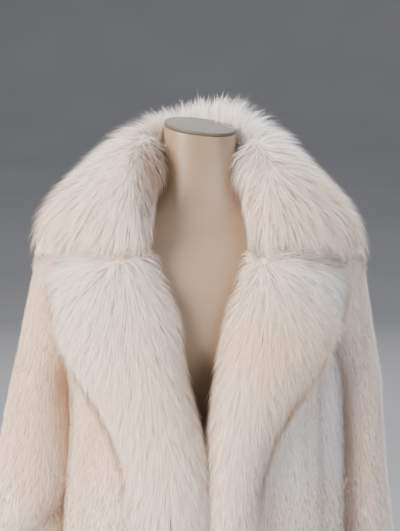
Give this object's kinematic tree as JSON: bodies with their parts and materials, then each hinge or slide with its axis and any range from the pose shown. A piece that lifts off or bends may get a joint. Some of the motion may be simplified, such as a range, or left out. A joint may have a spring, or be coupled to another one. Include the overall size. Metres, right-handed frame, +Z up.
{
  "type": "fur coat on a dress form",
  "caption": "Long fur coat with a wide long-haired collar and lapels, open at the neck, worn on a smooth limbless dress form with a flat-cut neck, a pole and a round base.",
  "frame": {"origin": "middle of the base's underside, on the floor", "axes": "+Z up along the pole; the coat faces -Y; +X is the wearer's left"},
  "size_m": [0.6797, 0.4647, 1.498],
  "materials": {
    "short_fur": "short sleek pile, matt",
    "long_fur": "long soft hair, matt",
    "form_shell": "smooth satin",
    "form_cap": "smooth satin",
    "steel": "brushed"
  },
  "bodies": {
    "root": {"coat_back": "short_fur", "coat_front_right": "short_fur", "coat_front_left": "short_fur", "sleeve_right": "short_fur", "sleeve_left": "short_fur", "collar": "long_fur", "lapel_right": "long_fur", "lapel_left": "long_fur", "form_torso": "form_shell", "form_neck_cap": "form_cap", "form_pole": "steel", "form_base": "steel"}
  },
  "joints": []
}
